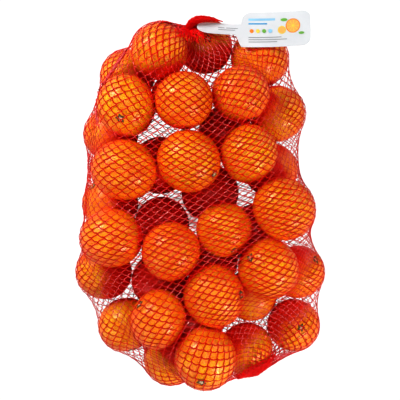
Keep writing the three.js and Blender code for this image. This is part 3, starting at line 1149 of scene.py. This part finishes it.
folds = {
    # ways across the net, with the half width of each, its number of yarns and the range of their
    # painted light
    "loose": [
        ([(-80, 170, 60), (-91, 152, 60), (-99, 141, 62), (-106, 131, 62), (-112, 121, 60),
          (-118, 108, 52)], 4.6, 16, (0.3, 1.0)),
        ([(-116, 100, 60), (-113, 90, 62), (-110, 78, 62)], 2.6, 8, (0.3, 1.0)),
        ([(-125, 53, 45), (-126, 40, 45), (-124, 26, 45)], 1.4, 6, (0.3, 1.0)),
        ([(86, -184, 30), (95, -179, 30), (106, -173, 30)], 3.0, 12, (0.3, 1.0)),
    ],
    "tight": [
        ([(-14, 196, 60), (-19, 190, 66), (-23, 184, 70), (-25, 177, 70)], 6.0, 14, (0.6, 0.9)),
        ([(-13, 196, 60), (-14, 190, 64), (-15, 183, 67), (-14, 174, 66)], 4.5, 12, (0.7, 1.0)),
        ([(-13, 196, 60), (-9, 190, 64), (-5, 183, 67), (-1, 173, 68)], 4.0, 9, (0.7, 1.0)),
        ([(-12, 196, 60), (-5, 191, 64), (2, 185, 67), (8, 177, 68)], 3.0, 6, (0.7, 1.0)),
        ([(-14, 196, 58), (-24, 196, 66), (-36, 196, 80), (-48, 195, 80)], 2.2, 12, (0.3, 0.6)),
        ([(41, -201, 30), (52, -199, 30), (62, -196, 30), (71, -192, 30), (80, -186, 30),
          (89, -180, 30)], 8.0, 84, (0.0, 0.5)),
    ],
    "spread": 0.5,  # of the yarns across a fold, in its half widths
    "starts": (0.0, 0.12),  # where its yarns begin and end, as shares of its length
    "ends": (0.62, 1.0),
    "taper": (0.25, 2.5),  # the part of a half turn whose sine's root narrows it
    "dropFrom": 300.0,  # the height from which yarns are dropped on the net
    "outFrom": (0.0, 0.0, 45.0),  # a place inside the bag
    "points": 46,
    "zigzag": 7.6,
    "zigzagWidth": 1.5,
    "halfWidth": 0.36,
    "halfThick": 0.3,
    "lowest": 0.2,  # off the net's surface
    "highest": 1.1,
}


def layFolds(kind, material):
    s = folds
    rings, columns = netGrid.shape[:2]
    cell = np.arange((rings - 1) * columns)
    nextOne = cell - cell % columns + (cell + 1) % columns
    quads = np.stack([cell, nextOne, nextOne + columns, cell + columns], 1)
    surface = BVHTree.FromPolygons(netGrid.reshape(-1, 3).tolist(), quads.tolist())
    paths, normals, paintedLightRanges = [], [], []
    for way, halfWidth, count, ownPaintedLight in s[kind]:
        paintedLightRanges += [ownPaintedLight] * count
        for _ in range(count):
            middle = smoothRun(way, s["points"], rng.uniform(*s["starts"]), rng.uniform(*s["ends"]))
            ahead = unit(np.gradient(middle, axis=0))
            side = unit(np.cross(ahead, np.array([0.0, 0.0, 1.0])))
            steps = np.diff(middle, axis=0, prepend=middle[:1])
            travelled = np.linalg.norm(steps, axis=1).cumsum()
            taper = np.sqrt(np.sin(np.linspace(*s["taper"], s["points"])))
            place = rng.normal(0, s["spread"]) * halfWidth
            swing = travelled / s["zigzag"] + rng.uniform(0, 1)
            zigzag = 2 * np.abs(swing % 1 * 2 - 1) - 1
            aside = place * taper + zigzag * s["zigzagWidth"]
            lift = rng.uniform(s["lowest"], s["highest"])
            path, normal = [], []
            for point in middle + side * aside[:, None]:
                over = Vector((*point[:2], s["dropFrom"]))
                hit, out, _, _ = surface.ray_cast(over, Vector((0, 0, -1)))
                if hit is None:
                    hit, out, _, _ = surface.find_nearest(Vector(point))
                out = out if out.dot(Vector(point) - Vector(s["outFrom"])) > 0 else -out
                path.append(np.array(hit + out * lift))
                normal.append(np.array(out))
            paths.append(path)
            normals.append(normal)
    paths, normals = np.array(paths), np.array(normals)
    points, faces = tubes(paths, normals, s["halfWidth"], s["halfThick"])
    points[:, 2] = np.maximum(points[:, 2], netYarn["lowest"])
    # Each yarn's painted light, drawn from its fold's range.
    paintedLight = np.repeat(rng.uniform(*np.array(paintedLightRanges).T), s["points"] * 4)
    addYarnPieces(f"{kind}_folds", points, faces, paintedLight, 1, "filled_net", material)


tails = {
    "top": {
        "name": "top_gather_yarns",
        "node": "top_gather_tail",
        "path": [(-13, 195, 57), (-9.5, 199.6, 62.5), (-3, 202.6, 66.6), (6, 203.2, 68),
                 (15, 202.4, 67.5), (25.5, 200.4, 66.5)],
        "radii": [4.75, 4.7, 4.4, 3.7, 2.6, 0.6],
    },
    "bottom": {
        "name": "bottom_gather_yarns",
        "node": "bottom_gather_tail",
        "path": [(68, -199.5, 9), (63.5, -203.5, 7.2), (57, -205.8, 5.8), (48, -207.4, 4.6),
                 (39.5, -209.2, 3.4)],
        "radii": [4.75, 4.4, 4, 3.2, 1.2],
    },
    "yarns": 84,
    "points": 30,
    "halfWidth": 0.5,
    "halfThick": 0.42,
    "wave": 0.45,  # how far a yarn swings in and out
    "waves": 9.0,  # over the bundle's length
    "shortest": 0.72,  # share of the bundle's length
    "wholeYarns": 14,  # that reach its end
    "stops": 60,  # places along the bundle's middle line
    "nextTurn": 2.39996,  # from one yarn to the next round the bundle, for an even spread
    "twist": 2.2,  # over the bundle's length
    "inset": 0.45,  # of the outermost yarns' middles
    "sideFrom": (0.15, 0.1, 1.0),
    # range of painted light of the gathered yarns, below the painted glow
    "paintedLight": (0.0, 0.5),
}


# Points on a smooth line through the stops, by Catmull-Rom.
def smoothRun(stops, count, start=0.0, end=1.0):
    stops = np.array(stops, float)
    padded = np.vstack([2 * stops[0] - stops[1], stops, 2 * stops[-1] - stops[-2]])
    places = np.linspace(start, end, count) * (len(stops) - 1)
    low = np.minimum(places.astype(int), len(stops) - 2)
    t = (places - low)[:, None]
    a, b, c, d = (padded[low + k] for k in range(4))
    return 0.5 * (2 * b + (c - a) * t + (2 * a - 5 * b + 4 * c - d) * t**2
                  + (3 * b - a - 3 * c + d) * t**3)


def bundleYarns(tail):
    s = tails
    count, length, last = s["yarns"], s["points"], s["stops"] - 1
    middle = smoothRun(tail["path"], s["stops"])
    given = np.linspace(0, 1, len(tail["radii"]))
    radii = np.interp(np.linspace(0, 1, s["stops"]), given, tail["radii"])
    ahead = unit(np.gradient(middle, axis=0))
    side = unit(np.cross(ahead, np.array(s["sideFrom"])))
    over = np.cross(side, ahead)
    order = np.arange(count)
    turn = order * s["nextTurn"]
    share = np.sqrt((order + 0.5) / count)
    ends = rng.uniform(s["shortest"], 1.0, count)
    ends[rng.integers(0, count, s["wholeYarns"])] = 1.0
    steps = np.linspace(0, 1, length)[None, :] * ends[:, None] * last
    low = np.minimum(steps.astype(int), last - 1)
    part = (steps - low)[..., None]

    def along(values):
        return values[low] * (1 - part) + values[low + 1] * part

    phase = rng.uniform(0, 2 * math.pi, (count, 1))
    wave = s["wave"] * np.sin(steps / last * s["waves"] * 2 * math.pi + phase)
    twist = turn[:, None] + steps / last * s["twist"]
    room = along(radii[:, None])[..., 0] - s["inset"]
    out = np.maximum(0, room * share[:, None] + (wave - s["wave"]) / 2)
    centre, sideways, upwards = along(middle), along(side), along(over)
    spoke = np.cos(twist)[..., None] * sideways + np.sin(twist)[..., None] * upwards
    paths = centre + spoke * out[..., None]
    points, faces = tubes(paths, spoke, s["halfWidth"], s["halfThick"])
    points[:, 2] = np.maximum(points[:, 2], netYarn["lowest"])
    paintedLight = np.repeat(rng.uniform(*s["paintedLight"], count), length * 4)
    addYarnPieces(tail["name"], points, faces, paintedLight, 1, tail["node"], gathered)


layFolds("loose", folded)
layFolds("tight", gathered)
for end in ("top", "bottom"):
    bundleYarns(tails[end])
print("folds and gathers laid")


def layLabel():
    s = labelSizes
    deselectAll()
    bpy.ops.mesh.primitive_grid_add(
        x_subdivisions=s["columns"], y_subdivisions=s["rows"], size=2
    )
    piece = bpy.context.object
    piece.name = piece.data.name = "label_film"
    places = vertexArray(piece)
    columns = labelColumns()
    laid = []
    for x, y, _ in places:
        along = columns[int(round((x + 1) / 2 * s["columns"]))]
        up, down = labelEdges(along)
        laid.append(labelPoint(along, -down + (y + 1) / 2 * (up + down)))
    setVertices(piece, toFrame(laid))
    wall = piece.modifiers.new("film", "SOLIDIFY")
    wall.thickness = s["thickness"] * mm
    wall.offset = -1
    applyAll(piece)
    piece.data.materials.append(film)
    bpy.ops.object.shade_smooth_by_angle(angle=math.radians(s["smoothBelow"]))
    standIn(piece, "label_film", "film_label")


# A plain citrus print of discs, leaves and bars; places are along and across the film.
labelPrint = {
    "lift": 0.12,
    "inks": {
        "blue": (0.05, 0.40, 0.74),
        "paleBlue": (0.36, 0.66, 0.86),
        "orange": (0.92, 0.30, 0.04),
        "paleOrange": (0.95, 0.52, 0.16),
        "yellow": (0.90, 0.72, 0.12),
        "green": (0.22, 0.52, 0.10),
        "grey": (0.30, 0.31, 0.33),
    },
    "bars": [  # left, right, low, high, ink
        (24, 31, 0.9, 1.5, "grey"),
        (33, 46, 0.9, 1.5, "grey"),
        (24, 43, -1.3, -0.7, "grey"),
        (58, 88, 10.5, 13.0, "paleBlue"),
        (58, 79, 6.2, 7.6, "blue"),
        (58, 95, -9.2, -8.5, "grey"),
        (58, 101, -11.8, -11.1, "grey"),
        (58, 90, -14.4, -13.7, "grey"),
    ],
    "discs": [  # along, across, radius, ink, shorter across by
        (108, 3.5, 8.2, "orange", 1.0),
        (108, 3.5, 7.2, "paleOrange", 1.0),
        (108, 3.5, 1.2, "yellow", 1.0),
        (95.5, -0.8, 4.6, "yellow", 1.0),
        (95.5, -0.8, 3.8, "paleOrange", 1.0),
        (98.0, 10.8, 3.8, "green", 0.45),
        (117.5, -5.5, 3.2, "green", 0.45),
        (61.5, -1.5, 2.2, "orange", 1.0),
        (68.5, -1.5, 2.2, "yellow", 1.0),
        (75.5, -1.5, 2.2, "green", 1.0),
        (82.5, -1.5, 2.2, "paleBlue", 1.0),
    ],
    "segments": 9,  # of the sliced fruit, drawn as spokes
    "spokeHalfWidth": 0.28,
    "spokeStart": 1.0,
    "spokeLevel": 3,
    "levelStep": 0.03,  # each ink lies this far over the one before
    "points": {"bar": 13, "disc": 33, "spoke": 5},
    "discRings": (1.0, 0.5, 0.02),  # in radii
}


def printLabel():
    s = labelPrint
    inks = list(s["inks"])
    points, faces, ofInk = [], [], []

    # Rows of (along, across) places, joined by faces.
    def patch(rows, ink, level):
        start, width = len(points), len(rows[0])
        for row in rows:
            points.extend(labelPoint(a, b, s["lift"] + s["levelStep"] * level) for a, b in row)
        for r in range(len(rows) - 1):
            for c in range(width - 1):
                low = start + r * width + c
                faces.append((low, low + 1, low + width + 1, low + width))
                ofInk.append(inks.index(ink))

    for left, right, low, high, ink in s["bars"]:
        bar = np.linspace(left, right, s["points"]["bar"])
        patch([[(a, b) for a in bar] for b in (low, high)], ink, 0)
    turns = np.linspace(0, 2 * math.pi, s["points"]["disc"])
    for level, (a, b, radius, ink, squash) in enumerate(s["discs"], 1):
        rings = [radius * k for k in s["discRings"]]
        patch([[(a + r * math.cos(t), b + squash * r * math.sin(t)) for t in turns]
               for r in rings], ink, level)
    a, b, radius = s["discs"][1][:3]
    reach = np.linspace(s["spokeStart"], radius, s["points"]["spoke"])
    edges = (-s["spokeHalfWidth"], s["spokeHalfWidth"])
    for turn in np.linspace(0, 2 * math.pi, s["segments"], endpoint=False):
        aheadA, aheadB = math.cos(turn), math.sin(turn)
        patch([[(a + r * aheadA - w * aheadB, b + r * aheadB + w * aheadA) for r in reach]
               for w in edges], "yellow", s["spokeLevel"])
    piece = meshPiece("label_print", np.array(points), np.array(faces), film)
    piece.data.materials.clear()
    for ink in inks:
        tint = np.array(s["inks"][ink])
        deeper = tint * filmFinish["inkDeeper"]
        made = filmMaterial(f"print_{ink}", tint, deeper, filmFinish["inkRoughness"])
        piece.data.materials.append(made)
    piece.data.polygons.foreach_set("material_index", np.array(ofInk))
    standIn(piece, "label_film", "film_label")


layLabel()
printLabel()
print("label laid and printed")


studio = {
    "floorSize": 8.0,  # metres, as is all of this
    "floorUnder": 0.0003,  # the table top
    "patchUnder": 0.0001,
    "floorGlow": 0.96,  # the share of its own light in what the camera sees of it
    "glowStrength": 1.06,
    "floorShader": {"Base Color": (0.86, 0.86, 0.86, 1), "Roughness": 0.9,
                    "Specular IOR Level": 0.0},
    "tintedGlow": (0.96, 0.62, 0.58),  # floor that the fruit half close off, in light through net
    "shadedGlow": (0.12, 0.004, 0.002),  # and floor that they close off
    "shadedTo": 0.008,  # share of the sky that is open
    "whiteFrom": 0.050,
    "skyRises": (12, 32, 52, 72),  # degrees
    "skyTurns": 12,
    "skyEdge": (0.9, 1.1),  # how softly a fruit closes it off, in radii
    "patchCell": 0.003,
    "patchMargin": 0.02,
    "skyColour": (1.0, 0.99, 0.98, 1),
    "skyStrength": 0.06,
    "viewGamma": 0.70,  # below 1, for deep shade and full colour
    "cameraHeight": 1.1,
    "lens": 82.86,  # millimetres, as is the sensor
    "sensorWidth": 36,
    "lights": [  # name, distance, width, watts
        ("key", 1.4, 0.5, 20),
        ("second", 1.4, 0.5, 17.5),
        ("left", 1.4, 0.7, 5.5),
        ("right", 1.4, 0.7, 5.5),
        ("overhead", 1.9, 1.0, 5),
    ],
}


# Share of the sky that the fruit leave open over points of the floor.
def openSky(points):
    rays = []
    for rise in np.radians(studio["skyRises"]):
        for turn in np.linspace(0, 2 * math.pi, studio["skyTurns"], endpoint=False):
            flat = math.cos(rise)
            rays.append((flat * math.cos(turn), flat * math.sin(turn), math.sin(rise)))
    edge = studio["skyEdge"]
    return sum(passing(points, np.array(ray), fruitPlaces, edge) for ray in rays) / len(rays)


def floorMaterial():
    material, tree, shader = newMaterial("studio_floor", studio["floorShader"])
    shaded = pointValue(tree, "shaded")
    half = mixColour(tree, shaded, (1, 1, 1), studio["tintedGlow"])
    tint = mixColour(tree, multiply(tree, shaded, shaded), half, studio["shadedGlow"])
    glow = node(tree, "ShaderNodeEmission", Color=tint, Strength=studio["glowStrength"])
    seen = node(tree, "ShaderNodeLightPath").outputs["Is Camera Ray"]
    blendShaders(tree, multiply(tree, seen, studio["floorGlow"]), shader, glow)
    return material


# A wide plain floor, and just over it a patch that carries the bag's own shade.
def layFloor():
    s = studio
    material = floorMaterial()
    deselectAll()
    bpy.ops.mesh.primitive_plane_add(size=s["floorSize"], location=(0, 0, -s["floorUnder"]))
    floor = bpy.context.object
    bpy.ops.object.transform_apply(location=True)
    deselectAll()
    size = [high - low + 2 * s["patchMargin"] for low, high in zip(*cadBox)]
    cells = [int(length / s["patchCell"]) for length in size]
    bpy.ops.mesh.primitive_grid_add(x_subdivisions=cells[0], y_subdivisions=cells[1], size=1)
    patch = bpy.context.object
    places = vertexArray(patch) * (size[0], size[1], 1) - (0, 0, s["patchUnder"])
    setVertices(patch, places)
    shaded = 1 - smoothStep(openSky(places / mm - shift), s["shadedTo"], s["whiteFrom"])
    markPoints(patch, "shaded", shaded)
    for piece, name in ((floor, "studio_floor"), (patch, "shaded_floor")):
        piece.name = name
        piece.data.materials.append(material)


def setLights():
    world = bpy.data.worlds.new("studio")
    bpy.context.scene.world = world
    world.use_nodes = True
    tree = world.node_tree
    sky = tree.nodes["Background"]
    sky.inputs["Color"].default_value = studio["skyColour"]
    sky.inputs["Strength"].default_value = studio["skyStrength"]
    seen = node(tree, "ShaderNodeLightPath").outputs["Is Camera Ray"]
    backdrop = node(tree, "ShaderNodeBackground", Color=(1, 1, 1, 1),
                    Strength=studio["glowStrength"])
    blendShaders(tree, seen, sky, backdrop, "World Output")
    for name, distance, width, watts in studio["lights"]:
        place = Vector(lightWays[name]).normalized() * distance
        bpy.ops.object.light_add(type="AREA", location=place)
        lamp = bpy.context.object
        lamp.name = name
        lamp.rotation_euler = place.to_track_quat("Z", "Y").to_euler()
        lamp.data.size = width
        lamp.data.energy = watts


def setCamera():
    x, y, _ = shift * mm
    bpy.ops.object.camera_add(location=(x, y, studio["cameraHeight"]), rotation=(0, 0, 0))
    camera = bpy.context.object
    camera.name = "from_above"
    camera.data.lens = studio["lens"]
    camera.data.sensor_width = studio["sensorWidth"]
    bpy.context.scene.camera = camera
    view = bpy.context.scene.view_settings
    view.view_transform = "Standard"
    view.gamma = studio["viewGamma"]


layFloor()
setLights()
setCamera()
print("studio set")
